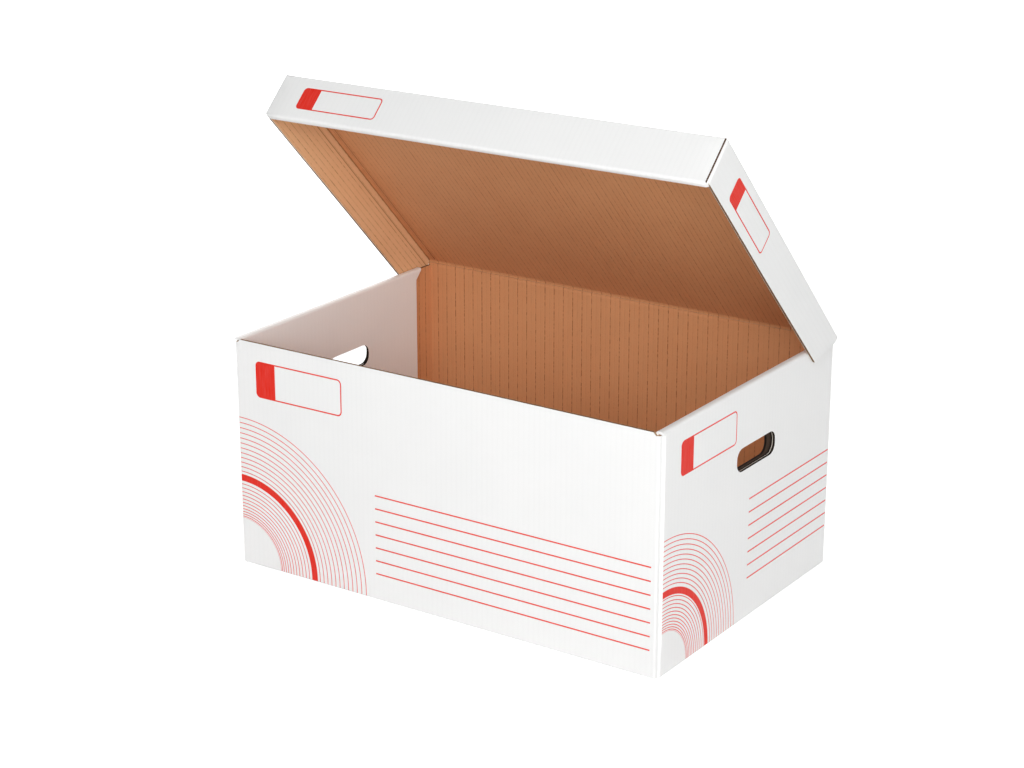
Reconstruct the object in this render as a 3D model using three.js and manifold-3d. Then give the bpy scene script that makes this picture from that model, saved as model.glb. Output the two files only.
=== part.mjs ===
// Archive storage box: a flip-top carton of white-lined corrugated board, standing with its lid open.
// Millimetres, +Z up. The origin is the middle of the underside.
// +X runs along the box and +Y points to the hinge.
import * as THREE from 'three';
import { mergeVertices } from 'three/addons/utils/BufferGeometryUtils.js';
import Module from 'manifold-3d';

const wasm = await Module();
wasm.setup();

// The board, its folds and its cut edges
const board = 3;
const foldRadius = 2.5;
const crushedEdge = 1.5;
const arcSteps = 5;

// How far joined solids reach into each other, and how far cutting tools reach past what they cut
const fuse = 0.2;
const overrun = 10;

// The tray, measured over its outer faces
const trayLength = 543;
const trayDepth = 365;
const trayHeight = 264;

// Front wall: a single board whose side tabs are held inside the double end walls
const frontStep = 1;
const frontCornerWidth = 7;
const frontCornerDrop = 3;
const endPanelSetback = 6;

// End walls: outer panel, a middle layer of tabs and an inner panel that comes over the top
const endWallLayers = 3;
const rollRadius = 3;
const rollRearInset = 29;
const rollRearSlant = 12;
const middleLayerSlot = 40;

// Hand hole through each end wall
const handHoleWidth = 82;
const handHoleHeight = 26;
const handHoleRadius = 11;
const handHoleY = 12;
const handHoleZ = 185;

// The lid, which shuts over the tray with its flanges outside the walls
const openAngle = 46;
const hingeGap = 0.3;
const sideClearance = 0.5;
const frontClearance = 1;
const frontLayers = 3;
const frontFlangeDepth = 55;
const frontFlangeCorner = 5;
const frontFlangeRollRadius = 3.5;
const sideFlangeDepth = 52;
const sideFlangeRearDepth = 49;
const sideFlangeRearInset = 24;
const sideFlangeNeck = 8;
const frontLayerInset = 2.6;
const creaseSpacing = 10;
const creaseWidth = 1.6;
const creaseDepth = 0.6;

// Sizes that follow from those above
const endWallThickness = endWallLayers * board;
const trayEndX = trayLength / 2;
const trayBackY = trayDepth / 2;
const frontFoldX = trayEndX - board;
const frontInnerY = -trayBackY + board;
const rollRearY = trayBackY - rollRearInset;
const innerPanelRearY = rollRearY - rollRearSlant;
const hingeZ = trayHeight;

const flangeInnerX = trayEndX + sideClearance;
const lidEndX = flangeInnerX + board;
const lidFrontThickness = frontLayers * board;
const lidDepth = trayDepth + frontClearance + lidFrontThickness;
const panelTop = hingeGap + board;
const tabFoldY = -lidDepth + board;
const frontLayerX = lidEndX - frontLayerInset;

// An outline is a list of [x, y] corners. A corner may carry a radius as a third number.
function roundedShape(corners) {
  const shape = new THREE.Shape();
  const count = corners.length;
  corners.forEach(([x, y, radius = 0], i) => {
    const [px, py] = corners[(i + count - 1) % count];
    const [nx, ny] = corners[(i + 1) % count];
    const corner = new THREE.Vector2(x, y);
    const toPrevious = new THREE.Vector2(px, py).sub(corner).normalize();
    const toNext = new THREE.Vector2(nx, ny).sub(corner).normalize();
    const halfAngle = Math.acos(THREE.MathUtils.clamp(toPrevious.dot(toNext), -1, 1)) / 2;
    const reach = radius > 0 ? radius / Math.tan(halfAngle) : 0;
    const start = corner.clone().addScaledVector(toPrevious, reach);
    const end = corner.clone().addScaledVector(toNext, reach);
    if (i === 0) shape.moveTo(start.x, start.y);
    else shape.lineTo(start.x, start.y);
    if (radius > 0) {
      const middle = toPrevious.clone().add(toNext).normalize();
      const centre = corner.clone().addScaledVector(middle, radius / Math.sin(halfAngle));
      const from = Math.atan2(start.y - centre.y, start.x - centre.x);
      const to = Math.atan2(end.y - centre.y, end.x - centre.x);
      const sweep = Math.atan2(Math.sin(to - from), Math.cos(to - from));
      for (let step = 1; step <= arcSteps; step += 1) {
        const angle = from + sweep * step / arcSteps;
        shape.lineTo(centre.x + radius * Math.cos(angle), centre.y + radius * Math.sin(angle));
      }
    }
  });
  shape.closePath();
  return shape;
}

function toSolid(geometry) {
  const bare = geometry.clone();
  bare.deleteAttribute('normal');
  bare.deleteAttribute('uv');
  const merged = mergeVertices(bare, 1e-4);
  return new wasm.Manifold(new wasm.Mesh({
    numProp: 3,
    vertProperties: Float32Array.from(merged.attributes.position.array),
    triVerts: Uint32Array.from(merged.index.array),
  }));
}

function toGeometry(solid) {
  const mesh = solid.getMesh();
  const geometry = new THREE.BufferGeometry();
  geometry.setAttribute('position', new THREE.BufferAttribute(mesh.vertProperties, 3));
  geometry.setIndex(new THREE.BufferAttribute(mesh.triVerts, 1));
  const flat = geometry.toNonIndexed();
  flat.computeVertexNormals();
  return flat;
}

function prism(corners, from, to, turn) {
  const options = { depth: to - from, bevelEnabled: false };
  const geometry = new THREE.ExtrudeGeometry(roundedShape(corners), options);
  geometry.translate(0, 0, from);
  geometry.applyMatrix4(turn);
  return toSolid(geometry);
}

const upright = new THREE.Matrix4();
const alongY = new THREE.Matrix4().set(1, 0, 0, 0, 0, 0, -1, 0, 0, 1, 0, 0, 0, 0, 0, 1);
const alongX = new THREE.Matrix4().set(0, 0, 1, 0, 1, 0, 0, 0, 0, 1, 0, 0, 0, 0, 0, 1);

// Outline in X and Y, raised along Z
const planPrism = (corners, lowZ, highZ) => prism(corners, lowZ, highZ, upright);
// Outline in X and Z, run along Y
const frontPrism = (corners, lowY, highY) => prism(corners, -highY, -lowY, alongY);
// Outline in Y and Z, run along X
const sidePrism = (corners, lowX, highX) => prism(corners, lowX, highX, alongX);

const join = (solids) => solids.reduce((whole, solid) => whole.add(solid));
const cut = (solid, tools) => tools.reduce((rest, tool) => rest.subtract(tool), solid);
const mirrorX = (corners) => corners.map(([x, ...rest]) => [-x, ...rest]).reverse();
const ends = [1, -1];
const atEnd = (end, corners) => (end > 0 ? corners : mirrorX(corners));

// Front wall with its side tabs: a U in plan, with soft folds at the two front corners
function frontWallWithTabs() {
  const tabRearY = innerPanelRearY - middleLayerSlot;
  const top = trayHeight - frontStep;
  const wall = planPrism([
    [-frontFoldX, -trayBackY, foldRadius],
    [frontFoldX, -trayBackY, foldRadius],
    [frontFoldX, tabRearY],
    [frontFoldX - board, tabRearY],
    [frontFoldX - board, frontInnerY],
    [-frontFoldX + board, frontInnerY],
    [-frontFoldX + board, tabRearY],
    [-frontFoldX, tabRearY],
  ], 0, top);
  const cornerCuts = ends.map((end) => frontPrism(atEnd(end, [
    [frontFoldX - frontCornerWidth, top],
    [frontFoldX - frontCornerWidth + frontCornerDrop, top - frontCornerDrop],
    [trayEndX, top - frontCornerDrop],
    [trayEndX, top + overrun],
    [frontFoldX - frontCornerWidth, top + overrun],
  ]), -trayBackY - overrun, -trayBackY + endPanelSetback));
  return cut(wall, cornerCuts);
}

// Back wall with the two outer end panels: a U in plan that opens to the front
function backWallWithEndPanels() {
  const frontEdgeY = -trayBackY + endPanelSetback;
  const panels = planPrism([
    [trayEndX, trayBackY, foldRadius],
    [-trayEndX, trayBackY, foldRadius],
    [-trayEndX, frontEdgeY + crushedEdge],
    [-trayEndX + crushedEdge, frontEdgeY],
    [-frontFoldX, frontEdgeY],
    [-frontFoldX, trayBackY - board],
    [frontFoldX, trayBackY - board],
    [frontFoldX, frontEdgeY],
    [trayEndX - crushedEdge, frontEdgeY],
    [trayEndX, frontEdgeY + crushedEdge],
  ], 0, hingeZ);
  const endTops = ends.map((end) => frontPrism(atEnd(end, [
    [frontFoldX - board, trayHeight - board],
    [trayEndX + overrun, trayHeight - board],
    [trayEndX + overrun, trayHeight + overrun],
    [frontFoldX - board, trayHeight + overrun],
  ]), -trayDepth, trayBackY - board));
  return cut(panels, endTops);
}

// The rolled top and the inner panel of one end wall
function rolledEnd(end) {
  const innerX = trayEndX - endWallThickness;
  const roll = frontPrism(atEnd(end, [
    [innerX, 0],
    [innerX + board, 0],
    [innerX + board, trayHeight - board],
    [trayEndX, trayHeight - board],
    [trayEndX, trayHeight, rollRadius],
    [innerX, trayHeight, rollRadius],
  ]), frontInnerY - fuse, rollRearY);
  const outline = sidePrism([
    [-trayDepth, -overrun],
    [innerPanelRearY, -overrun],
    [innerPanelRearY, trayHeight - rollRearSlant],
    [rollRearY, trayHeight],
    [rollRearY, trayHeight + overrun],
    [-trayDepth, trayHeight + overrun],
  ], -trayLength, trayLength);
  return roll.intersect(outline);
}

function handHole() {
  const halfWidth = handHoleWidth / 2;
  const halfHeight = handHoleHeight / 2;
  return sidePrism([
    [handHoleY - halfWidth, handHoleZ - halfHeight, handHoleRadius],
    [handHoleY + halfWidth, handHoleZ - halfHeight, handHoleRadius],
    [handHoleY + halfWidth, handHoleZ + halfHeight, handHoleRadius],
    [handHoleY - halfWidth, handHoleZ + halfHeight, handHoleRadius],
  ], -trayLength, trayLength);
}

// The folds under the walls are soft, so the joined tray is trimmed by its rounded side and front outlines
function traySolid() {
  const floor = planPrism([
    [-frontFoldX, -trayBackY + board],
    [frontFoldX, -trayBackY + board],
    [frontFoldX, trayBackY - board / 2],
    [-frontFoldX, trayBackY - board / 2],
  ], 0, board);
  const whole = join([floor, frontWallWithTabs(), backWallWithEndPanels(), ...ends.map(rolledEnd)]);
  const sideOutline = sidePrism([
    [-trayBackY, 0, foldRadius],
    [trayBackY, 0, foldRadius],
    [trayBackY, trayHeight + overrun],
    [-trayBackY, trayHeight + overrun],
  ], -trayLength, trayLength);
  const frontOutline = frontPrism([
    [-trayEndX, 0, foldRadius],
    [trayEndX, 0, foldRadius],
    [trayEndX, trayHeight + overrun],
    [-trayEndX, trayHeight + overrun],
  ], -trayDepth, trayDepth);
  return whole.intersect(sideOutline).intersect(frontOutline).subtract(handHole());
}

// The lid is drawn shut, in its own frame: the hinge line is the X axis and the panel runs towards -Y.
// Top panel and side flanges: a channel with soft folds, whose flanges are then cut to their outline
function panelWithSideFlanges() {
  const flangeLow = panelTop - sideFlangeDepth;
  const channel = frontPrism([
    [-lidEndX, flangeLow],
    [-flangeInnerX, flangeLow],
    [-flangeInnerX, hingeGap],
    [flangeInnerX, hingeGap],
    [flangeInnerX, flangeLow],
    [lidEndX, flangeLow],
    [lidEndX, panelTop, foldRadius],
    [-lidEndX, panelTop, foldRadius],
  ], tabFoldY, 0);
  const outline = sidePrism([
    [tabFoldY, flangeLow, foldRadius],
    [-sideFlangeRearInset, panelTop - sideFlangeRearDepth, foldRadius],
    [0, panelTop - sideFlangeNeck],
    [0, hingeGap],
    [0, panelTop, foldRadius],
    [tabFoldY, panelTop],
  ], -lidEndX - overrun, lidEndX + overrun);
  return channel.intersect(outline);
}

// Front flange: outer layer, tabs and inner layer under one rolled lower edge, its lower corners cut back
function frontFlange() {
  const flangeLow = panelTop - frontFlangeDepth;
  const flange = sidePrism([
    [-lidDepth, flangeLow, frontFlangeRollRadius],
    [-lidDepth + lidFrontThickness, flangeLow, frontFlangeRollRadius],
    [-lidDepth + lidFrontThickness, panelTop],
    [-lidDepth, panelTop, foldRadius],
  ], -lidEndX, lidEndX);
  const outline = frontPrism([
    [-lidEndX + frontFlangeCorner, flangeLow - overrun],
    [-lidEndX + frontFlangeCorner, flangeLow],
    [-lidEndX, flangeLow + frontFlangeCorner],
    [-lidEndX, panelTop, foldRadius],
    [lidEndX, panelTop, foldRadius],
    [lidEndX, flangeLow + frontFlangeCorner],
    [lidEndX - frontFlangeCorner, flangeLow],
    [lidEndX - frontFlangeCorner, flangeLow - overrun],
  ].reverse(), -lidDepth - overrun, 0);
  return flange.intersect(outline);
}

// Two pressed creases run along each side of the panel, on its inner face
function panelCreases() {
  return ends.flatMap((end) => [0, creaseSpacing].map((inset) => {
    const middle = flangeInnerX - creaseWidth / 2 - inset;
    return frontPrism(atEnd(end, [
      [middle - creaseWidth / 2, hingeGap - creaseDepth],
      [middle + creaseWidth / 2, hingeGap - creaseDepth],
      [middle + creaseWidth / 2, hingeGap],
      [middle, hingeGap + creaseDepth],
      [middle - creaseWidth / 2, hingeGap],
    ]), -lidDepth + lidFrontThickness, overrun);
  }));
}

// In plan the side flanges fold in behind the front flange's outer layer, whose cut ends stop short of them
function lidSolid() {
  const planOutline = planPrism([
    [-lidEndX, overrun],
    [-lidEndX, tabFoldY, foldRadius],
    [-frontLayerX, tabFoldY],
    [-frontLayerX, -lidDepth],
    [frontLayerX, -lidDepth],
    [frontLayerX, tabFoldY],
    [lidEndX, tabFoldY, foldRadius],
    [lidEndX, overrun],
  ], -lidDepth, lidDepth);
  const whole = join([panelWithSideFlanges(), frontFlange()]).intersect(planOutline);
  return cut(whole, panelCreases());
}

function sheet(name, solid, color) {
  const material = new THREE.MeshStandardMaterial({ color, roughness: 0.8, metalness: 0 });
  const mesh = new THREE.Mesh(toGeometry(solid), material);
  mesh.name = name;
  return mesh;
}

const storageBox = new THREE.Group();
storageBox.add(sheet('tray', traySolid(), 0xf0f0ee));

const hinge = new THREE.Group();
hinge.position.set(0, trayBackY, hingeZ);
hinge.rotation.x = -THREE.MathUtils.degToRad(openAngle);
hinge.add(sheet('lid', lidSolid(), 0xf4f4f2));
storageBox.add(hinge);

export default storageBox;
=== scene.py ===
import math

import bmesh
import bpy
from mathutils import Matrix, Vector


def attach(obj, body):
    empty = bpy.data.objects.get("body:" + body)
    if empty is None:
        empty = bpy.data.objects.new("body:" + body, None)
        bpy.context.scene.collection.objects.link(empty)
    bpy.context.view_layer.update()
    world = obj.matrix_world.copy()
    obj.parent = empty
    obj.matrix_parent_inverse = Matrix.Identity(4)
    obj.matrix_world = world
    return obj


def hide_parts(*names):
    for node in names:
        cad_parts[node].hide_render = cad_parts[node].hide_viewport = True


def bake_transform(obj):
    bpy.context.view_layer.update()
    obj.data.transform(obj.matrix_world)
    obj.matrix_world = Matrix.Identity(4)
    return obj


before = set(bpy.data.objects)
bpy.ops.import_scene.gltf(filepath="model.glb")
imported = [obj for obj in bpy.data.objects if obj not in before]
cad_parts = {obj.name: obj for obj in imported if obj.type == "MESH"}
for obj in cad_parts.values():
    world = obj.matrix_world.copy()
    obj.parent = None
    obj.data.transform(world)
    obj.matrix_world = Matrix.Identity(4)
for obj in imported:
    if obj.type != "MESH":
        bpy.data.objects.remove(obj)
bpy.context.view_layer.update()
print("frame loaded")

mm = 0.001

# Sizes of the folded sheet, in millimetres, as the CAD model has them.
# The end walls are three boards thick: outer panel, tab and tucked panel.
tray = {
    "endX": 271.5, "innerX": 262.5, "backY": 182.5, "height": 264, "board": 3,
    "frontTop": 263, "rollFoot": 261, "rollRearY": 153.5, "innerRearY": 141.5, "tabRearY": 101.5,
    "holeY": 12, "holeZ": 185, "holeHalfWidth": 41, "holeHalfHeight": 13, "holeRadius": 11,
}
lid = {"endX": 275, "innerX": 272, "depth": 375, "panelFrontY": -366, "seamY": -371, "openAngle": 46}
# The board: flutes, liners and how deep the flutes lie back from a cut edge
board = {
    "flutePitch": 6.45, "liner": 0.4, "recess": 1.4, "lidRecess": 0.8, "paper": 0.3,
    "holeLiner": 0.35, "holeRecess": 2.6,
}
# How far the tucked panels' hand holes stand off the outer ones
tuck = {"rear": 7, "low": 1}

hinge = Matrix.Translation((0, tray["backY"] * mm, tray["height"] * mm)) @ Matrix.Rotation(
    -math.radians(lid["openAngle"]), 4, "X")


# Colours and nodes
def hexColor(text):
    parts = [int(text[i:i + 2], 16) / 255 for i in (1, 3, 5)]
    return tuple(c / 12.92 if c <= 0.04045 else ((c + 0.055) / 1.055) ** 2.4 for c in parts) + (1,)


# Adds a node. Its inputs are links or constants, by place or by name.
# It gives one output, or the node itself where output is None.
def addNode(tree, kind, settings=None, inputs=(), output=0):
    node = tree.nodes.new("ShaderNode" + kind)
    for name, value in (settings or {}).items():
        setattr(node, name, value)
    for key, value in (inputs.items() if isinstance(inputs, dict) else enumerate(inputs)):
        if isinstance(value, bpy.types.NodeSocket):
            tree.links.new(value, node.inputs[key])
        else:
            node.inputs[key].default_value = value
    return node if output is None else node.outputs[output]


# Settings that many nodes share
add, subtract, multiply, divide, multiplyAdd = (
    {"operation": name} for name in ("ADD", "SUBTRACT", "MULTIPLY", "DIVIDE", "MULTIPLY_ADD"))
maximum, minimum, power, root, absolute, fraction = (
    {"operation": name} for name in ("MAXIMUM", "MINIMUM", "POWER", "SQRT", "ABSOLUTE", "FRACT"))
scale, length = ({"operation": name} for name in ("SCALE", "LENGTH"))
smooth = {"interpolation_type": "SMOOTHSTEP"}
mixColors = {"data_type": "RGBA"}

# How softly an ink edge ends, in millimetres
inkEdge = {"field": 0.15, "inside": 0.1, "outside": 0.25}


# How far a value lies from a number, either way
def distanceFrom(tree, value, place):
    return addNode(tree, "Math", absolute, (addNode(tree, "Math", subtract, (value, place)),))


# Length of the vector whose two parts are given
def lengthOf(tree, first, second):
    squares = [addNode(tree, "Math", multiply, (part, part)) for part in (first, second)]
    return addNode(tree, "Math", root, (addNode(tree, "Math", add, squares),))


# Distance to the nearest whole number
def toWhole(tree, value):
    shifted = addNode(tree, "Math", add, (value, 0.5))
    return distanceFrom(tree, addNode(tree, "Math", fraction, (shifted,)), 0.5)


# Distance in millimetres to the nearest of a row of evenly spaced lines
def distanceToLines(tree, value, first, spacing):
    steps = addNode(tree, "Math", divide, (addNode(tree, "Math", subtract, (value, first)), spacing))
    return addNode(tree, "Math", multiply, (toWhole(tree, steps), spacing))


# 1 between low and high and 0 outside
def insideRange(tree, value, low, high):
    away = distanceFrom(tree, value, (low + high) / 2)
    half, edge = (high - low) / 2, inkEdge["field"]
    return addNode(tree, "MapRange", smooth, (away, half - edge, half + edge, 1.0, 0.0))


# 1 on a line of the given width, by the distance from its middle
def inkLine(tree, distance, width, outside=inkEdge["outside"], inside=inkEdge["inside"]):
    return addNode(tree, "MapRange", smooth, (distance, width / 2 - inside, width / 2 + outside, 1.0, 0.0))


# Thin writing lines
def writingLines(tree, across, up, spec):
    margin = 2
    last = spec["first"] + (spec["count"] - 1) * spec["spacing"]
    distance = distanceToLines(tree, up, spec["first"], spec["spacing"])
    line = inkLine(tree, distance, spec["width"], outside=0.2, inside=0.15)
    rows = insideRange(tree, up, spec["first"] - margin, last + margin)
    columns = insideRange(tree, across, spec["from"], spec["to"])
    return addNode(tree, "Math", multiply, (addNode(tree, "Math", multiply, (line, rows)), columns))


# Thin rings about a corner, whose spacing grows outwards, with one bold ring among them
def cornerRings(tree, across, up, spec):
    gap, growth = spec["gap"], spec["growth"]
    centreX, centreZ = spec["centre"]
    radius = lengthOf(tree, addNode(tree, "Math", subtract, (across, centreX)),
                      addNode(tree, "Math", subtract, (up, centreZ)))
    steps = addNode(tree, "Math", divide, (addNode(tree, "Math", subtract, (radius, spec["inner"])), gap))
    number = addNode(tree, "Math", power, (addNode(tree, "Math", maximum, (steps, 0.001)), 1 / growth))
    slope = addNode(tree, "Math", power, (number, growth - 1))
    spacing = addNode(tree, "Math", multiply, (slope, gap * growth))
    line = inkLine(tree, addNode(tree, "Math", multiply, (toWhole(tree, number), spacing)), spec["width"])
    field = insideRange(tree, radius, spec["inner"], spec["outer"])
    bold = insideRange(tree, radius, *spec["bold"])
    return addNode(tree, "Math", maximum, (addNode(tree, "Math", multiply, (line, field)), bold))


# A blank label field: a round-cornered frame whose left end is filled
def labelField(tree, across, up, spec):
    (centreX, centreZ), (halfX, halfZ) = spec["centre"], spec["half"]
    corner = spec["radius"]
    past = [addNode(tree, "Math", subtract, (distanceFrom(tree, value, place), half - corner))
            for value, place, half in ((across, centreX, halfX), (up, centreZ, halfZ))]
    outside = lengthOf(tree, *[addNode(tree, "Math", maximum, (part, 0.0)) for part in past])
    inside = addNode(tree, "Math", minimum, (addNode(tree, "Math", maximum, past), 0.0))
    distance = addNode(tree, "Math", subtract, (addNode(tree, "Math", add, (outside, inside)), corner))
    rim = inkLine(tree, addNode(tree, "Math", absolute, (distance,)), spec["width"])
    body = addNode(tree, "MapRange", smooth, (distance, -0.1, 0.2, 1.0, 0.0))
    band = insideRange(tree, across, centreX - halfX, centreX - halfX + spec["band"])
    return addNode(tree, "Math", maximum, (rim, addNode(tree, "Math", multiply, (body, band))))


# Position on the sheet, and its parts in millimetres; the lid's pattern is turned with the open lid
def sheetPosition(tree, onLid):
    source = addNode(tree, "TexCoord", output="Object")
    if onLid:
        source = addNode(tree, "Mapping", {"vector_type": "TEXTURE"}, {
            "Vector": source, "Location": hinge.translation, "Rotation": hinge.to_euler()})
    scaled = addNode(tree, "VectorMath", scale, {0: source, "Scale": 1 / mm})
    parts = addNode(tree, "SeparateXYZ", None, (scaled,), output=None)
    return source, dict(zip("XYZ", parts.outputs))


def newTree(owner):
    owner.use_nodes = True
    owner.node_tree.nodes.clear()
    return owner.node_tree


# Noise whose grains have the given size in millimetres, stretched where a factor is below 1
def grain(tree, source, size, detail, stretch=(1, 1, 1)):
    moved = addNode(tree, "VectorMath", multiply, (source, stretch))
    return addNode(tree, "TexNoise", None, {
        "Vector": moved, "Scale": 1 / (size * mm), "Detail": detail, "Roughness": 0.6})


# The finished surface: a Principled shader with its bump, led to the material's output
def finishSurface(tree, inputs, height, strength, distance):
    bump = addNode(tree, "Bump", None, {"Strength": strength, "Distance": distance, "Height": height})
    shader = addNode(tree, "BsdfPrincipled", None, {**inputs, "Normal": bump}, output=None)
    addNode(tree, "OutputMaterial", None, {"Surface": shader.outputs[0]}, output=None)
    return shader


# Noise that is fine across the flutes and long along them
along = {"X": (1, 0.06, 0.06), "Y": (0.06, 1, 0.06), "Z": (0.06, 0.06, 1)}

# Coated white-top liner, offset printed: a clean paper white with a soft sheen, under which the flutes
# show as very faint ribs. Paper fibres are finer than 0.1 mm, so they are drawn ten times as coarse.
whiteLook = {
    "white": "#F4F4F3", "shade": "#E9EAEA", "ribShadow": "#B9B9B9", "ink": "#E2240F",
    "roughness": 0.5, "roughSpread": 0.12, "inkSmoother": 0.08, "specular": 0.3, "inkSpecular": 0.1,
    "cloudSize": 111.11, "cloudAmount": 0.55, "fibreSize": 1.1111, "fibreHeight": 0.012,
    "ribEdges": (0.2, 1.9), "ribUnevenSize": 38.46, "ribHeight": 0.05, "ribShadeAmount": 0.052,
    "inkCover": 0.92, "inkSpread": 0.12, "bump": 0.6,
}


def whiteLiner(name, across, onLid=False, prints=()):
    look = whiteLook
    material = bpy.data.materials.new(name)
    tree = newTree(material)
    source, axis = sheetPosition(tree, onLid)
    cloud = grain(tree, source, look["cloudSize"], 3)
    fibre = grain(tree, source, look["fibreSize"], 4, along[across])
    uneven = grain(tree, source, look["ribUnevenSize"], 2, along[across])
    toRib = distanceToLines(tree, axis[across], 0, board["flutePitch"])
    rib = addNode(tree, "MapRange", smooth, (toRib, *look["ribEdges"], 1.0, 0.0))
    clouded = addNode(tree, "Math", multiply, (cloud, look["cloudAmount"]))
    color = addNode(tree, "Mix", mixColors, {
        0: clouded, 6: hexColor(look["white"]), 7: hexColor(look["shade"])}, output=2)
    # Painted shade: the liner is darkened along the flute ribs, beside their pressed bump
    ribbed = addNode(tree, "Math", multiply, (rib, uneven))
    ribbed = addNode(tree, "Math", multiply, (ribbed, look["ribShadeAmount"]))
    color = addNode(tree, "Mix", mixColors, {0: ribbed, 6: color, 7: hexColor(look["ribShadow"])}, output=2)
    rough = addNode(tree, "Math", multiplyAdd, (
        fibre, look["roughSpread"], look["roughness"] - look["roughSpread"] / 2))
    if prints:
        drawn = [pattern(tree, axis[plane[0]], axis[plane[1]], spec) for pattern, spec, plane in prints]
        mask = drawn[0]
        for other in drawn[1:]:
            mask = addNode(tree, "Math", maximum, (mask, other))
        cover = addNode(tree, "Math", multiplyAdd, (fibre, look["inkSpread"], look["inkCover"]))
        inked = addNode(tree, "Math", multiply, (mask, cover))
        color = addNode(tree, "Mix", mixColors, {0: inked, 6: color, 7: hexColor(look["ink"])}, output=2)
        rough = addNode(tree, "Math", multiplyAdd, (mask, -look["inkSmoother"], rough))
    pressed = addNode(tree, "Math", multiply, (rib, -look["ribHeight"]))
    height = addNode(tree, "Math", multiplyAdd, (fibre, look["fibreHeight"], pressed))
    surface = {"Base Color": color, "Roughness": rough, "Specular IOR Level": look["specular"]}
    shader = finishSurface(tree, surface, height, look["bump"], mm)
    # Ink shines less than the coating round it
    if prints:
        sheen = addNode(tree, "Math", multiplyAdd, (
            mask, look["inkSpecular"] - look["specular"], look["specular"]))
        tree.links.new(sheen, shader.inputs["Specular IOR Level"])
    return material


# Unbleached kraft liner: matt brown paper with a fine fibre, ribbed where it is glued to the flutes.
# Its fibres too are drawn coarser than the real ones.
kraftLook = {
    # The pale pair is the same kraft painted lighter, as painted light on the lid's flanges
    "brown": "#E0A373", "dark": "#D29363", "pale": "#F0C498", "paintedLitDark": "#E2B182",
    "line": "#874D28", "fleck": "#A2673B", "roughness": 0.78,
    "cloudSize": 71.429, "fibreSize": 0.90909, "fibreAmount": 0.3, "fibreHeight": 0.03,
    "fleckSize": 1.6129, "fleckRange": (0.66, 0.76), "fleckAmount": 0.35,
    "lineStart": 0.25, "lineWidth": 0.8, "strongWidth": 0.96, "wanderSize": 33.333, "wander": 0.5,
    "stitchSize": 3.8462, "stitchRange": (0.4, 0.62, 0.35, 1.25),
    "unevenSize": 25, "unevenSpread": 1.2, "unevenLeast": 0.35,
    "creaseShadeAmount": 0.65, "creaseCore": 0.3, "ribWidth": 2.6, "ribHeight": 0.14, "bump": 0.7,
}
# How strongly each flute and each second flute shows as a line
wallLines = {"each": 0.12, "second": 0.45}
lidLines = {"each": 0.3, "second": 0.16}


def kraftLiner(name, across, lines, onLid=False, shadedCreases=(), brown="brown", dark="dark"):
    look = kraftLook
    material = bpy.data.materials.new(name)
    tree = newTree(material)
    source, axis = sheetPosition(tree, onLid)
    soft = grain(tree, source, look["wanderSize"], 2, along[across])
    wander = addNode(tree, "Math", multiplyAdd, (soft, look["wander"], axis[across]))
    near = distanceToLines(tree, wander, look["lineStart"], board["flutePitch"])
    nearSecond = distanceToLines(tree, wander, look["lineStart"], board["flutePitch"] * 2)
    each = addNode(tree, "MapRange", smooth, (near, 0.1, look["lineWidth"], 1.0, 0.0))
    second = addNode(tree, "MapRange", smooth, (nearSecond, 0.1, look["strongWidth"], 1.0, 0.0))
    strokes = (addNode(tree, "Math", multiply, (each, lines["each"])),
               addNode(tree, "Math", multiply, (second, lines["second"])))
    stitches = grain(tree, source, look["stitchSize"], 1)
    stitched = addNode(tree, "MapRange", None, (stitches, *look["stitchRange"]))
    uneven = addNode(tree, "Math", multiplyAdd, (
        grain(tree, source, look["unevenSize"], 2, along[across]), look["unevenSpread"], look["unevenLeast"]))
    ink = addNode(tree, "Math", multiply, (
        addNode(tree, "Math", add, strokes), addNode(tree, "Math", multiply, (stitched, uneven))))
    cloud = grain(tree, source, look["cloudSize"], 4)
    fibre = grain(tree, source, look["fibreSize"], 4, along[across])
    fleck = addNode(tree, "MapRange", None, (grain(tree, source, look["fleckSize"], 2), *look["fleckRange"]))
    color = addNode(tree, "Mix", mixColors, {
        0: cloud, 6: hexColor(look[brown]), 7: hexColor(look[dark])}, output=2)
    layers = [
        (addNode(tree, "Math", multiply, (fibre, look["fibreAmount"])), look[dark]),
        (addNode(tree, "Math", multiply, (fleck, look["fleckAmount"])), look["fleck"]),
        (ink, look["line"]),
    ]
    # Painted shade: each pressed crease is drawn as a dark line
    for creaseAxis, places, width in shadedCreases:
        for place in places:
            away = distanceFrom(tree, axis[creaseAxis], place)
            shade = addNode(tree, "MapRange", smooth, (away, width * look["creaseCore"], width, 1.0, 0.0))
            layers.append((addNode(tree, "Math", multiply, (shade, look["creaseShadeAmount"])), look["line"]))
    for amount, tone in layers:
        color = addNode(tree, "Mix", mixColors, {0: amount, 6: color, 7: hexColor(tone)}, output=2)
    rib = addNode(tree, "MapRange", smooth, (near, 0.1, look["ribWidth"], 1.0, 0.0))
    pressed = addNode(tree, "Math", multiply, (rib, -look["ribHeight"]))
    height = addNode(tree, "Math", multiplyAdd, (fibre, look["fibreHeight"], pressed))
    finishSurface(tree, {"Base Color": color, "Roughness": look["roughness"]}, height, look["bump"], mm)
    return material


# Cut edge and fluting medium: rough grey-brown recycled paper, dull and fibrous
cutLook = {
    "fibreSize": 1.4286, "fibreAmount": 0.6, "cloudSize": 16.667, "cloudAmount": 0.4,
    "bump": 0.8, "deep": 0.2,
}


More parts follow.
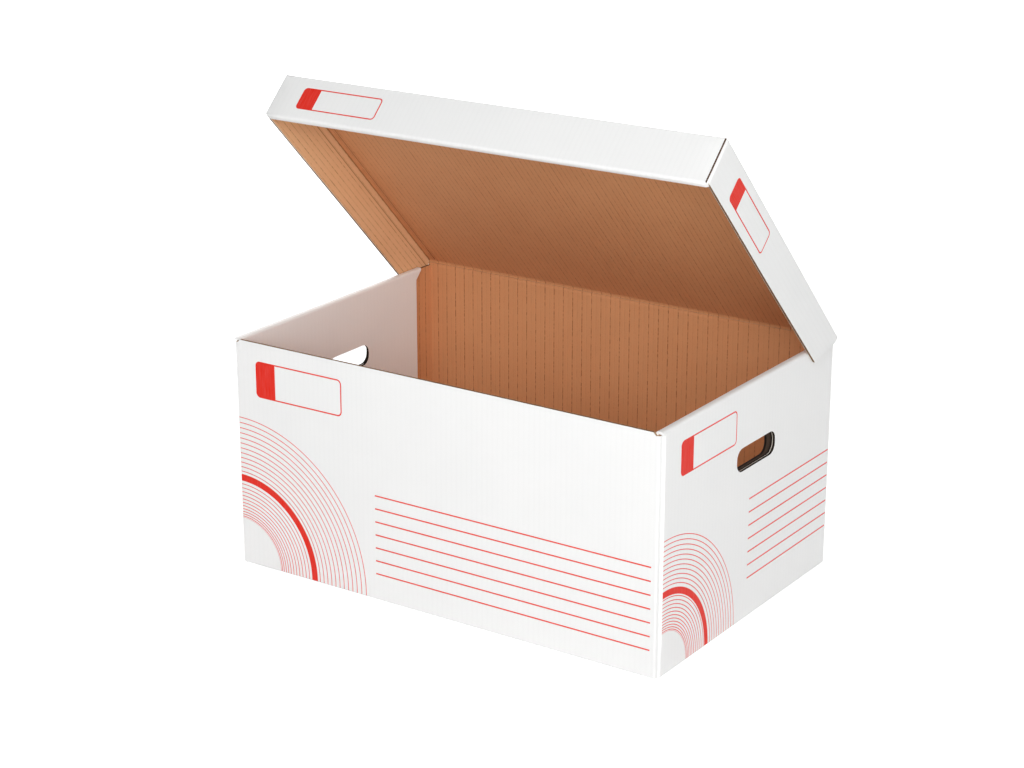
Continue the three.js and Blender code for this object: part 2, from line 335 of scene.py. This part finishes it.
def cutPaper(name, light, dark, roughness):
    look = cutLook
    material = bpy.data.materials.new(name)
    tree = newTree(material)
    source, _ = sheetPosition(tree, False)
    fibre = grain(tree, source, look["fibreSize"], 5)
    cloud = addNode(tree, "Math", multiply, (grain(tree, source, look["cloudSize"], 3), look["cloudAmount"]))
    amount = addNode(tree, "Math", multiplyAdd, (fibre, look["fibreAmount"], cloud))
    color = addNode(tree, "Mix", mixColors, {0: amount, 6: hexColor(light), 7: hexColor(dark)}, output=2)
    surface = {"Base Color": color, "Roughness": roughness}
    finishSurface(tree, surface, fibre, look["bump"], look["deep"] * mm)
    return material


# Print on each face: where it stands on the sheet, in millimetres
ruled = {"spacing": 15, "count": 7, "width": 1.5}
frontPrint = [
    (writingLines, {**ruled, "first": 31, "from": -81, "to": 262}, "XZ"),
    (cornerRings, {"centre": (-266, 2), "inner": 52, "outer": 176, "gap": 1.7, "growth": 1.32, "width": 0.75,
                   "bold": (96, 104)}, "XZ"),
    (labelField, {"centre": (-182, 222), "half": (58, 20), "radius": 5, "width": 1.4, "band": 26}, "XZ"),
]
endPrint = [
    (writingLines, {**ruled, "first": 46, "from": 0, "to": 179}, "YZ"),
    (cornerRings, {"centre": (-172, 2), "inner": 46, "outer": 150, "gap": 1.6, "growth": 1.3, "width": 0.75,
                   "bold": (84, 91)}, "YZ"),
    (labelField, {"centre": (-88, 225), "half": (56, 18), "radius": 5, "width": 1.4, "band": 24}, "YZ"),
]
lidFrontPrint = [
    (labelField, {"centre": (-186, -24), "half": (52, 13), "radius": 4, "width": 1.3, "band": 22}, "XZ"),
]
lidEndPrint = [
    (labelField, {"centre": (-276, -23), "half": (50, 13), "radius": 4, "width": 1.3, "band": 21}, "YZ"),
]
# Lines pressed into the lid's inside beside its folds, darkened as painted shade: the axis across them, their
# places and their width
panelCreaseShade = [("X", (-271.2, 271.2, -261.2, 261.2), 1.3)]
flangeCreaseShade = [("Z", (-8.0,), 0.9)]

looks = {
    "whiteFront": whiteLiner("coated white liner, printed front", "X", prints=frontPrint),
    "whiteEnd": whiteLiner("coated white liner, printed end", "Y", prints=endPrint),
    "whitePlain": whiteLiner("coated white liner", "X"),
    "whiteInner": whiteLiner("coated white liner, end walls inside", "Y"),
    "kraftX": kraftLiner("kraft liner", "X", wallLines),
    "kraftY": kraftLiner("kraft liner, end walls", "Y", wallLines),
    "lidWhite": whiteLiner("coated white liner, lid top", "X", onLid=True),
    "lidWhiteFront": whiteLiner("coated white liner, lid front", "X", onLid=True, prints=lidFrontPrint),
    "lidWhiteEnd": whiteLiner("coated white liner, lid sides", "Z", onLid=True, prints=lidEndPrint),
    "lidKraft": kraftLiner("kraft liner, lid panel", "X", lidLines, onLid=True, shadedCreases=panelCreaseShade),
    # Painted light: the side flanges inside take a paler copy of the same kraft, for the light that falls on
    # them
    "lidKraftSide": kraftLiner("kraft liner, lid sides, painted lighter", "Z", lidLines, onLid=True, shadedCreases=flangeCreaseShade,
                               brown="pale", dark="paintedLitDark"),
    "rim": cutPaper("cut liner edge", "#B79B7D", "#8A6C50", 0.85),
    "medium": cutPaper("fluting medium", "#94704F", "#5E4029", 0.9),
    # Painted shade: the medium deep in a seam is a darker copy of the fluting medium
    "seam": cutPaper("fluting medium deep in a seam, painted shade", "#5C402B", "#342114", 0.9),
    "lip": cutPaper("torn white liner edge", "#F0EBE4", "#C3B3A0", 0.85),
    # Painted shade: the hand holes' medium and cut liners are near-black copies of the cut paper
    "holeMedium": cutPaper("fluting medium in the hand holes, painted shade", "#2C1C11", "#140C07", 0.95),
    "holeLiner": cutPaper("cut liners in the hand holes, painted shade", "#4A3423", "#23170F", 0.9),
}
print("materials made:", len(looks))


# The looks of one piece, numbered as its material slots
class Palette:
    def __init__(self):
        self.names = []

    def index(self, name):
        if name not in self.names:
            self.names.append(name)
        return self.names.index(name)


# A finished bmesh becomes a piece that rides on a body
def finishPiece(bm, name, body, palette, stands=None, smoothAngle=28):
    mesh = bpy.data.meshes.new(name)
    bm.to_mesh(mesh)
    bm.free()
    for lookName in palette.names:
        mesh.materials.append(looks[lookName])
    mesh.shade_smooth()
    mesh.set_sharp_from_angle(angle=math.radians(smoothAngle))
    piece = bpy.data.objects.new(name, mesh)
    bpy.context.scene.collection.objects.link(piece)
    # Flat panels keep their own normal, so only the narrow folds shade round
    flatten = piece.modifiers.new("panel normals", "WEIGHTED_NORMAL")
    flatten.keep_sharp = True
    if body:
        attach(piece, body)
    if stands:
        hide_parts(stands)
    return piece


# A copy of a CAD node in the given frame, its triangles merged into clean panels
def copyNode(name, toFrame=Matrix()):
    bm = bmesh.new()
    bm.from_mesh(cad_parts[name].data)
    bmesh.ops.remove_doubles(bm, verts=bm.verts[:], dist=0.01 * mm)
    bm.transform(toFrame)
    bmesh.ops.dissolve_limit(bm, angle_limit=math.radians(0.5), verts=bm.verts[:], edges=bm.edges[:])
    return bm


# Middle of a face's box, in millimetres
def middleOf(face):
    corners = [v.co for v in face.verts]
    return [(min(c[i] for c in corners) + max(c[i] for c in corners)) / 2 / mm for i in range(3)]


def isAt(value, place, slack=0.2):
    return abs(value - place) < slack


# How much a face looks away from the middle of the box, sideways
def outwardOf(face):
    return face.normal.x * math.copysign(1, middleOf(face)[0])


# The edge of the board along a cut: liners stay, the fluting between them lies deeper
def recessEdge(bm, faces, direction, palette, depth):
    if not faces:
        return
    bmesh.ops.inset_region(bm, faces=faces, thickness=board["liner"] * mm, depth=0, use_even_offset=True,
                           use_boundary=True)
    sinkFaces(bm, faces, lambda co: Vector(direction), depth, palette.index("medium"))


# Moves faces into the board, each corner its own way, and leaves walls of the same look behind them
def sinkFaces(bm, faces, wayAt, depth, look):
    made = bmesh.ops.extrude_face_region(bm, geom=faces)["geom"]
    bmesh.ops.delete(bm, geom=faces, context="FACES_ONLY")
    for v in (part for part in made if isinstance(part, bmesh.types.BMVert)):
        v.co += wayAt(v.co) * depth * mm
        for face in v.link_faces:
            face.material_index = look


# Cuts the long panels across, so that they can bow a little
def slicePanels(bm, axis, start, stop, step):
    normal = Vector([1 if i == axis else 0 for i in range(3)])
    for place in range(start, stop, step):
        bmesh.ops.bisect_plane(bm, geom=bm.verts[:] + bm.edges[:] + bm.faces[:], dist=1e-6,
                               plane_co=normal * place * mm, plane_no=normal)


# How far the unheld top edges of the tray's walls lean in, and how far each wall reaches
lean = {"front": 1.1, "end": 0.5, "frontHalfLength": 262, "endHalfLength": 178, "endRearY": 176}


def leanTray(co):
    x, y, z = co / mm
    halfX, halfY = lean["frontHalfLength"], lean["endHalfLength"]
    lift = max(0.0, min(1.0, z / tray["height"])) ** 2
    if y < -halfY and abs(x) < halfX:
        y += lean["front"] * lift * math.cos(math.pi * x / (2 * halfX)) ** 2
    if abs(x) > halfX and -halfY < y < lean["endRearY"]:
        x -= math.copysign(lean["end"] * lift * math.cos(math.pi * y / (2 * halfY)) ** 2, x)
    return Vector((x, y, z)) * mm


# How far the lid's panel sags and its flanges lean in, and where each begins and ends, in the lid's own frame
sag = {
    "panel": 1.2, "panelHalfX": 268, "panelY": (-364, -2), "panelZ": -1,
    "panelSpanX": 540, "panelSpanY": -366,
    "front": 0.8, "frontY": -362, "frontSpanX": 552, "frontDepth": -52, "flangeZ": -2,
    "side": 0.6, "sideX": 271, "sideY": (-366, -4), "sideSpanY": -370, "sideDepth": -49,
}


def sagLid(co):
    x, y, z = co / mm
    if abs(x) < sag["panelHalfX"] and sag["panelY"][0] < y < sag["panelY"][1] and z > sag["panelZ"]:
        across = math.cos(math.pi * x / sag["panelSpanX"]) ** 2
        z -= sag["panel"] * across * math.sin(math.pi * y / sag["panelSpanY"]) ** 2
    if y < sag["frontY"] and z < sag["flangeZ"]:
        y += sag["front"] * math.cos(math.pi * x / sag["frontSpanX"]) ** 2 * min(1.0, z / sag["frontDepth"])
    if abs(x) > sag["sideX"] and sag["sideY"][0] < y < sag["sideY"][1] and z < sag["flangeZ"]:
        bow = math.sin(math.pi * y / sag["sideSpanY"]) ** 2 * min(1.0, z / sag["sideDepth"])
        x -= math.copysign(sag["side"] * bow, x)
    return Vector((x, y, z)) * mm


# Whether a face lies in the wall of a hand hole
def inHandHole(face):
    x, y, z = middleOf(face)
    return (abs(face.normal.x) < 0.1 and abs(x) > tray["innerX"] - 0.5
            and isAt(y, tray["holeY"], tray["holeHalfWidth"] + 1)
            and isAt(z, tray["holeZ"], tray["holeHalfHeight"] + 1))


# Which liner a face of the tray shows
def trayLook(face):
    x, y, z = middleOf(face)
    n, outward = face.normal, outwardOf(face)
    thick = tray["board"]
    nearFront, nearRear = y < -tray["backY"] + 6.5, y > tray["rollRearY"] - 3.5
    tests = (
        ("lip", inHandHole(face)),
        ("whiteFront", n.y < -0.9 and y < -tray["backY"] + 0.5),
        ("whiteEnd", outward > 0.9 and abs(x) > tray["endX"] - 0.5),
        ("kraftX", n.z > 0.9 and z < thick + 1),
        ("kraftX", n.y < -0.9 and isAt(y, tray["backY"] - thick, 0.5)),
        ("kraftX", n.y > 0.9 and isAt(y, -tray["backY"] + thick, 0.5)),
        ("whiteInner", outward < -0.9 and isAt(abs(x), tray["innerX"])),
        ("kraftY", abs(n.x) > 0.9 and isAt(abs(x), tray["endX"] - thick) and y > tray["tabRearY"]),
        ("kraftY", outward > 0.9 and isAt(abs(x), tray["innerX"] + thick)),
        # Cut edges: the front wall's and the roll's foot, the tucked panel's rear, the back wall's top
        ("rim", n.z > 0.3 and tray["rollFoot"] - 2 < z < tray["frontTop"] + 0.5 and (nearFront or nearRear)),
        ("rim", n.y > 0.6 and tray["innerX"] - 0.5 < abs(x) < tray["endX"] - thick + 0.1
         and y < tray["rollRearY"] + 0.5),
        ("rim", n.z > 0.6 and z > tray["height"] - 0.1 and y > tray["backY"] - thick - 0.5),
    )
    return next((name for name, fits in tests if fits), "whitePlain")


# Which way a point in a hand hole's wall lies from the opening
def outOfHole(co):
    flatY, flatZ = (tray[half] - tray["holeRadius"] for half in ("holeHalfWidth", "holeHalfHeight"))
    y, z = co.y / mm - tray["holeY"], co.z / mm - tray["holeZ"]
    return Vector((0, y - max(-flatY, min(flatY, y)), z - max(-flatZ, min(flatZ, z)))).normalized()


# Hand holes: the three boards show their liners, with the fluting back between them
def cutHandHoles(bm, palette):
    thick, liner = tray["board"], board["holeLiner"]
    layerStarts = [tray["innerX"] + layer * thick for layer in range(3)]
    tunnel = [f for f in bm.faces if inHandHole(f)]
    for start in layerStarts:
        for place in (start + liner, start + thick - liner):
            for side in (1, -1):
                geom = list(tunnel)
                geom += list({e for f in tunnel for e in f.edges})
                geom += list({v for f in tunnel for v in f.verts})
                bmesh.ops.bisect_plane(bm, geom=geom, dist=1e-6, plane_co=(side * place * mm, 0, 0),
                                       plane_no=(1, 0, 0))
                tunnel = [f for f in bm.faces if inHandHole(f)]
    for side in (1, -1):
        for start in layerStarts:
            centre = side * (start + thick / 2)
            band = [f for f in bm.faces if inHandHole(f) and isAt(middleOf(f)[0], centre, 0.5)]
            # Painted shade: the sunk fluting takes a near-black colour
            sinkFaces(bm, band, outOfHole, board["holeRecess"], palette.index("holeMedium"))
    # The tucked panel's hole is a little off the outer one, so more of the boards shows at its rear end
    reachY, reachZ = (tray[half] + board["holeRecess"] + 0.9 for half in ("holeHalfWidth", "holeHalfHeight"))
    tuckedTo = tray["innerX"] + thick - liner + 0.05
    for v in bm.verts:
        y, z = v.co.y / mm - tray["holeY"], v.co.z / mm - tray["holeZ"]
        if tray["innerX"] - 0.5 < abs(v.co.x) / mm < tuckedTo and abs(y) < reachY and abs(z) < reachZ:
            v.co.y -= tuck["rear"] * mm if y > 0 else 0
            v.co.z += tuck["low"] * mm if z < 0 else 0
    # Only the liners where the outer board meets the next stay pale; the others are painted dark as shade
    for face in bm.faces:
        isPale = isAt(abs(middleOf(face)[0]), tray["endX"] - thick, 0.5)
        if face.material_index == palette.index("lip") and not isPale:
            face.material_index = palette.index("holeLiner")


# Where the panels are cut across: axis, first cut, end and step, in millimetres
traySlices = ((0, -250, 260, 25), (1, -160, 180, 20), (2, 24, 264, 24))
lidSlices = ((0, -250, 260, 25), (1, -360, -5, 24), (2, -40, -5, 12))


def makeTray():
    palette = Palette()
    bm = copyNode("tray")
    for face in bm.faces:
        face.material_index = palette.index(trayLook(face))
    cutHandHoles(bm, palette)
    # Cut edges along the front wall's top, behind the rolls and at the tucked panels' rear
    top = [f for f in bm.faces if f.normal.z > 0.9 and isAt(middleOf(f)[2], tray["frontTop"])
           and middleOf(f)[1] < -tray["backY"] + tray["board"] + 0.5]
    recessEdge(bm, top, (0, 0, -1), palette, board["recess"])
    tuckedRear = (tray["innerX"] - 0.5, tray["innerX"] + tray["board"] + 0.5)
    for side in (1, -1):
        foot = [f for f in bm.faces if f.normal.z > 0.9 and isAt(middleOf(f)[2], tray["rollFoot"])
                and side * middleOf(f)[0] > tray["endX"] - tray["board"] - 0.5
                and middleOf(f)[1] > tray["rollRearY"] - 3.5]
        recessEdge(bm, foot, (0, 0, -1), palette, board["recess"])
        rear = [f for f in bm.faces if f.normal.y > 0.9 and isAt(middleOf(f)[1], tray["innerRearY"])
                and tuckedRear[0] < side * middleOf(f)[0] < tuckedRear[1]]
        recessEdge(bm, rear, (0, -1, 0), palette, board["recess"])
    for cut in traySlices:
        slicePanels(bm, *cut)
    for v in bm.verts:
        v.co = leanTray(v.co)
    return finishPiece(bm, "trayBoard", "tray", palette, stands="tray")


# Which liner a face of the lid shows, in the lid's own frame
def lidLook(face):
    x, y, z = middleOf(face)
    n, outward = face.normal, outwardOf(face)
    onFlange = abs(x) > lid["innerX"] - 0.1
    tests = (
        ("lidKraftSide", onFlange and outward < -0.9 and z < 0),
        ("lidKraft", n.z < -0.3 and -1 < z < 1.5 and y > lid["panelFrontY"] - 0.5),
        ("lidWhiteFront", n.y < -0.9 and y < -lid["depth"] + 1),
        ("lidWhiteEnd", outward > 0.9 and abs(x) > lid["endX"] - 0.5),
        ("lip", onFlange and n.z < -0.8 and z < -40),
        ("rim", onFlange and n.y > 0.7),
        # Painted shade: the medium deep in the front corner seam is drawn dark
        ("seam", abs(x) > lid["innerX"] and abs(n.x) > 0.9 and y < lid["seamY"]),
        ("rim", n.y > 0.9 and y > -1),
    )
    return next((name for name, fits in tests if fits), "lidWhite")


# The side flanges' cut edges: where they lie, their least area in square metres, the way into the board
flangeEdges = {
    "low": {"below": -44, "area": 5e-4, "inward": (0, 0, 1)},
    "rear": {"below": -10, "behind": -40, "area": 8e-5, "inward": (0, -0.86, 0.51)},
}


def makeLid():
    palette = Palette()
    bm = copyNode("lid", hinge.inverted())
    for face in bm.faces:
        face.material_index = palette.index(lidLook(face))
    lowEdge, rearEdge = flangeEdges["low"], flangeEdges["rear"]
    for side in (1, -1):
        low = [f for f in bm.faces if side * middleOf(f)[0] > lid["innerX"] - 0.1 and f.normal.z < -0.95
               and middleOf(f)[2] < lowEdge["below"] and f.calc_area() > lowEdge["area"]]
        recessEdge(bm, low, lowEdge["inward"], palette, board["lidRecess"])
        rear = [f for f in bm.faces if side * middleOf(f)[0] > lid["innerX"] - 0.1 and f.normal.y > 0.8
                and middleOf(f)[2] < rearEdge["below"] and middleOf(f)[1] > rearEdge["behind"]
                and f.calc_area() > rearEdge["area"]]
        recessEdge(bm, rear, rearEdge["inward"], palette, board["lidRecess"])
    for cut in lidSlices:
        slicePanels(bm, *cut)
    for v in bm.verts:
        v.co = sagLid(v.co)
    bm.transform(hinge)
    return finishPiece(bm, "lidBoard", "lid", palette, stands="lid")


# Fluting medium that shows in the cut edges: its wave, and how deep it stands below the edge
flutes = {
    "amplitude": 0.95, "samples": 10, "below": 0.25, "depth": 1.1,
    "holeBelow": 0.9, "holeDepth": 1.5, "holeInset": 0.3, "frontHalfLength": 260.9, "rearLength": 25,
}


# A grid strip along a stretch of flutes, its points placed by a function and thickened to paper
def addStrip(bm, stretch, place):
    count = int(stretch / board["flutePitch"] * flutes["samples"])
    made = bmesh.ops.create_grid(bm, x_segments=count, y_segments=1, size=0.5)["verts"]
    for v in made:
        v.co = place(v.co.x, v.co.y + 0.5) * mm
    faces = list({f for v in made for f in v.link_faces})
    bmesh.ops.recalc_face_normals(bm, faces=faces)
    bmesh.ops.solidify(bm, geom=faces, thickness=board["paper"] * mm)


def waveAt(run):
    return flutes["amplitude"] * math.sin(2 * math.pi * run / board["flutePitch"])


# A wavy strip of fluting medium that stands in a straight cut edge
def addEdgeFlutes(bm, start, along, across, stretch):
    def place(run, deep):
        run = (run + 0.5) * stretch
        down = Vector((0, 0, -1)) * (flutes["below"] + deep * flutes["depth"])
        return Vector(start) + Vector(along) * run + Vector(across) * waveAt(run) + down

    addStrip(bm, stretch, place)


# The same medium seen round a hand hole, above and below the opening
def addHoleFlutes(bm, side, layer, look):
    x = side * (tray["innerX"] + (layer + 0.5) * tray["board"])
    reach, radius = tray["holeHalfWidth"], tray["holeRadius"]

    def place(run, deep):
        run *= 2 * (reach - flutes["holeInset"])
        wave = waveAt(run)
        past = max(0.0, abs(run) - (reach - radius))
        edge = tray["holeHalfHeight"] - radius + math.sqrt(max(0.0, radius ** 2 - past ** 2))
        deep = edge + flutes["holeBelow"] + deep * flutes["holeDepth"]
        if layer == 0:
            run *= (reach - tuck["rear"]) / reach if run > 0 else 1
            deep -= tuck["low"] if up < 0 else 0
        return Vector((x + wave, tray["holeY"] + run, tray["holeZ"] + up * deep))

    for up in (1, -1):
        before = len(bm.faces)
        addStrip(bm, 2 * reach, place)
        bm.faces.ensure_lookup_table()
        for face in bm.faces[before:]:
            face.material_index = look


def makeTrayFlutes():
    palette = Palette()
    palette.index("medium")
    bm = bmesh.new()
    halfBoard, halfLength = tray["board"] / 2, flutes["frontHalfLength"]
    front = (-halfLength, -tray["backY"] + halfBoard, tray["frontTop"])
    addEdgeFlutes(bm, front, (1, 0, 0), (0, 1, 0), 2 * halfLength)
    for side in (1, -1):
        foot = (side * (tray["endX"] - halfBoard), tray["rollRearY"] + 0.5, tray["rollFoot"])
        addEdgeFlutes(bm, foot, (0, 1, 0), (1, 0, 0), flutes["rearLength"])
        for layer in range(3):
            # Painted shade: the fluting strips in the hand holes are drawn near black
            addHoleFlutes(bm, side, layer, palette.index("holeMedium"))
    for v in bm.verts:
        v.co = leanTray(v.co)
    return finishPiece(bm, "trayFlutes", "tray", palette)


# The crease's outline, in (y, z): up the back wall's outside, over onto the lid, and back along the inside.
# The lid's points are in the lid's own frame.
crease = {
    "halfLength": 270.8,
    "trayOutside": ((182.45, 258), (182.45, 262.5), (182.9, 264.6)),
    "lidOutside": ((-1.0, 2.9), (-2.2, 3.28), (-6, 3.28)),
    "lidInside": ((-6, 0.45), (-3.2, -0.1)),
    "trayInside": ((180.6, 263.4), (179.2, 262.2), (179.55, 258)),
}


# White paper bends round the crease outside, pressed kraft inside
def makeHingeCrease():
    palette = Palette()
    bm = bmesh.new()

    def onTray(y, z):
        return Vector((0, y, z)) * mm

    def onLid(y, z):
        return hinge @ onTray(y, z)

    outer = [onTray(*p) for p in crease["trayOutside"]] + [onLid(*p) for p in crease["lidOutside"]]
    inner = [onLid(*p) for p in crease["lidInside"]] + [onTray(*p) for p in crease["trayInside"]]
    face = bm.faces.new([bm.verts.new((-crease["halfLength"] * mm, p.y, p.z)) for p in outer + inner])
    made = bmesh.ops.extrude_face_region(bm, geom=[face], use_keep_orig=True)["geom"]
    bmesh.ops.translate(bm, vec=(2 * crease["halfLength"] * mm, 0, 0),
                        verts=[g for g in made if isinstance(g, bmesh.types.BMVert)])
    bmesh.ops.recalc_face_normals(bm, faces=bm.faces[:])
    outerPlaces = [(p.y, p.z) for p in outer]
    for f in bm.faces:
        isEnd = abs(f.normal.x) > 0.5
        away = [min(math.dist((v.co.y, v.co.z), place) for place in outerPlaces) for v in f.verts]
        isOuter = max(away) < 0.01 * mm
        f.material_index = palette.index("rim" if isEnd else "whitePlain" if isOuter else "kraftX")
    piece = finishPiece(bm, "hingeCrease", None, palette, smoothAngle=60)
    tuple(onLid(-3, 1.8))
    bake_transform(piece)
    return piece


pieces = (makeTray(), makeLid(), makeTrayFlutes(), makeHingeCrease())
for piece in pieces:
    print("piece", piece.name, len(piece.data.polygons), "faces")


# A lamp or camera at a place, turned to look at another
def placeObject(name, data, place, aim):
    thing = bpy.data.objects.new(name, data)
    thing.location = place
    thing.rotation_euler = (Vector(aim) - Vector(place)).to_track_quat("-Z", "Y").to_euler()
    bpy.context.scene.collection.objects.link(thing)
    return thing


# Camera at the photograph's angle
view = {"azimuth": 34.18, "elevation": 18.86, "position": (1.3494, -2.0284, 1.0429), "lens": 82.63}
azimuth, elevation = math.radians(view["azimuth"]), math.radians(view["elevation"])
ahead = Vector((-math.sin(azimuth) * math.cos(elevation), math.cos(azimuth) * math.cos(elevation),
                -math.sin(elevation)))
cameraData = bpy.data.cameras.new("camera")
cameraData.lens = view["lens"]
cameraData.sensor_width = 36
cameraData.clip_end = 60
aim = Vector(view["position"]) + ahead
bpy.context.scene.camera = placeObject("camera", cameraData, view["position"], aim)


# 1 for rays that show a thing to the camera, straight or mirrored, and 0 for those that light the scene
def seenRays(tree):
    rays = addNode(tree, "LightPath", output=None).outputs
    mirrored = addNode(tree, "Math", maximum, (rays["Is Glossy Ray"], rays["Is Transmission Ray"]))
    return addNode(tree, "Math", maximum, (rays["Is Camera Ray"], mirrored))


# Plain pale floor that keeps the shadow and shows white to the camera
floorLook = {"color": "#F2F2F2", "nearGlow": 0.6, "farGlow": 1.0, "near": 1.0, "far": 2.6, "size": 40}
white = (1, 1, 1, 1)


def makeFloor():
    mesh = bpy.data.meshes.new("floor")
    bm = bmesh.new()
    bmesh.ops.create_grid(bm, x_segments=1, y_segments=1, size=floorLook["size"] / 2)
    bm.to_mesh(mesh)
    bm.free()
    material = bpy.data.materials.new("plain floor")
    tree = newTree(material)
    away = addNode(tree, "VectorMath", length, (addNode(tree, "TexCoord", output="Object"),), output="Value")
    reach = [floorLook[name] for name in ("near", "far", "nearGlow", "farGlow")]
    level = addNode(tree, "MapRange", smooth, (away, *reach))
    glow = addNode(tree, "Emission", None, {
        "Color": white, "Strength": addNode(tree, "Math", multiply, (seenRays(tree), level))})
    matte = addNode(tree, "BsdfDiffuse", None, {"Color": hexColor(floorLook["color"])})
    both = addNode(tree, "AddShader", None, (matte, glow))
    addNode(tree, "OutputMaterial", None, {"Surface": both}, output=None)
    mesh.materials.append(material)
    floor = bpy.data.objects.new("floor", mesh)
    bpy.context.scene.collection.objects.link(floor)


makeFloor()

# Soft studio light
lamps = {
    "key": {"place": (3.0, -1.9, 0.95), "aim": (0, 0, 0.25), "size": 1.3, "power": 34},
    "front": {"place": (1.0, -2.0, 1.5), "aim": (0, 0, 0.25), "size": 1.6, "power": 33},
    "top": {"place": (0.3, -1.2, 3.2), "aim": (0, 0, 0.2), "size": 2.4, "power": 5},
    "rear": {"place": (-2.4, 2.8, 2.2), "aim": (0, 0, 0.3), "size": 2.4, "power": 75},
}
for name, lamp in lamps.items():
    lampData = bpy.data.lights.new(name, "AREA")
    lampData.shape = "SQUARE"
    lampData.size = lamp["size"]
    lampData.energy = lamp["power"]
    placeObject(name, lampData, lamp["place"], lamp["aim"])

# A white room that the camera sees in full and that lights the box only weakly
ambient = 0.3
world = bpy.data.worlds.new("studio")
bpy.context.scene.world = world
tree = newTree(world)
strength = addNode(tree, "Math", multiplyAdd, (seenRays(tree), 1 - ambient, ambient))
backdrop = addNode(tree, "Background", None, {"Color": white, "Strength": strength})
addNode(tree, "OutputWorld", None, {"Surface": backdrop}, output=None)

bpy.context.scene.view_settings.view_transform = "Standard"
print("camera, floor and lamps set")
